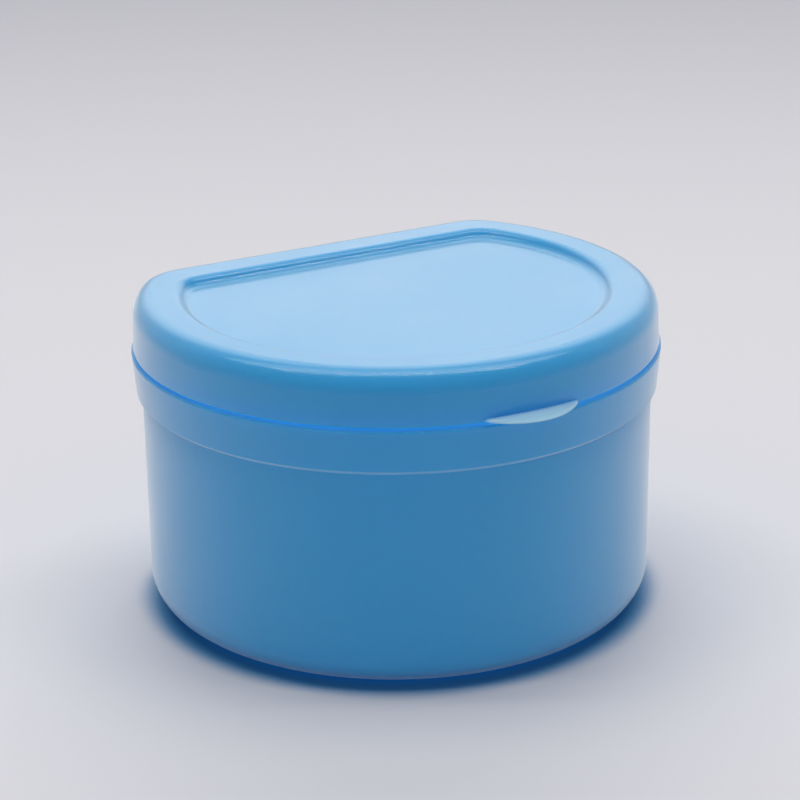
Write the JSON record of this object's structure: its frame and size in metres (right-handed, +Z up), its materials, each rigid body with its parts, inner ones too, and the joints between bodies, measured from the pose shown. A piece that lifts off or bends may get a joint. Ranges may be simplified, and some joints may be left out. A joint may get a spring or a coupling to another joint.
{
  "type": "denture case",
  "caption": "D-shaped moulded plastic denture case: tub with a thick collar, snap-hinged lid with a sunk top and thumb tab, and a lift-out strainer basket on inner ribs.",
  "frame": {"origin": "on the case's underside, at the centre of the front arc", "axes": "+Z up, +X along the flat back and the hinge axis, -Y towards the thumb tab"},
  "size_m": [0.095, 0.0896, 0.058],
  "materials": {
    "case_plastic": "smooth satin-gloss sky-blue polypropylene",
    "basket_plastic": "natural milky white polypropylene"
  },
  "bodies": {
    "base_tub": {"base_tub": "case_plastic"},
    "lid": {"lid": "case_plastic"},
    "basket": {"basket": "basket_plastic"}
  },
  "joints": [
    {"name": "lid_hinge", "type": "hinge", "parent": "base_tub", "child": "lid", "pos_m": [0, 0.0356, 0.049], "axis": [-1, 0, 0], "range_deg": [0, 120]},
    {"name": "basket_lift", "type": "slide", "parent": "base_tub", "child": "basket", "axis": [0, 0, 1], "range_m": [0, 0.005]}
  ]
}
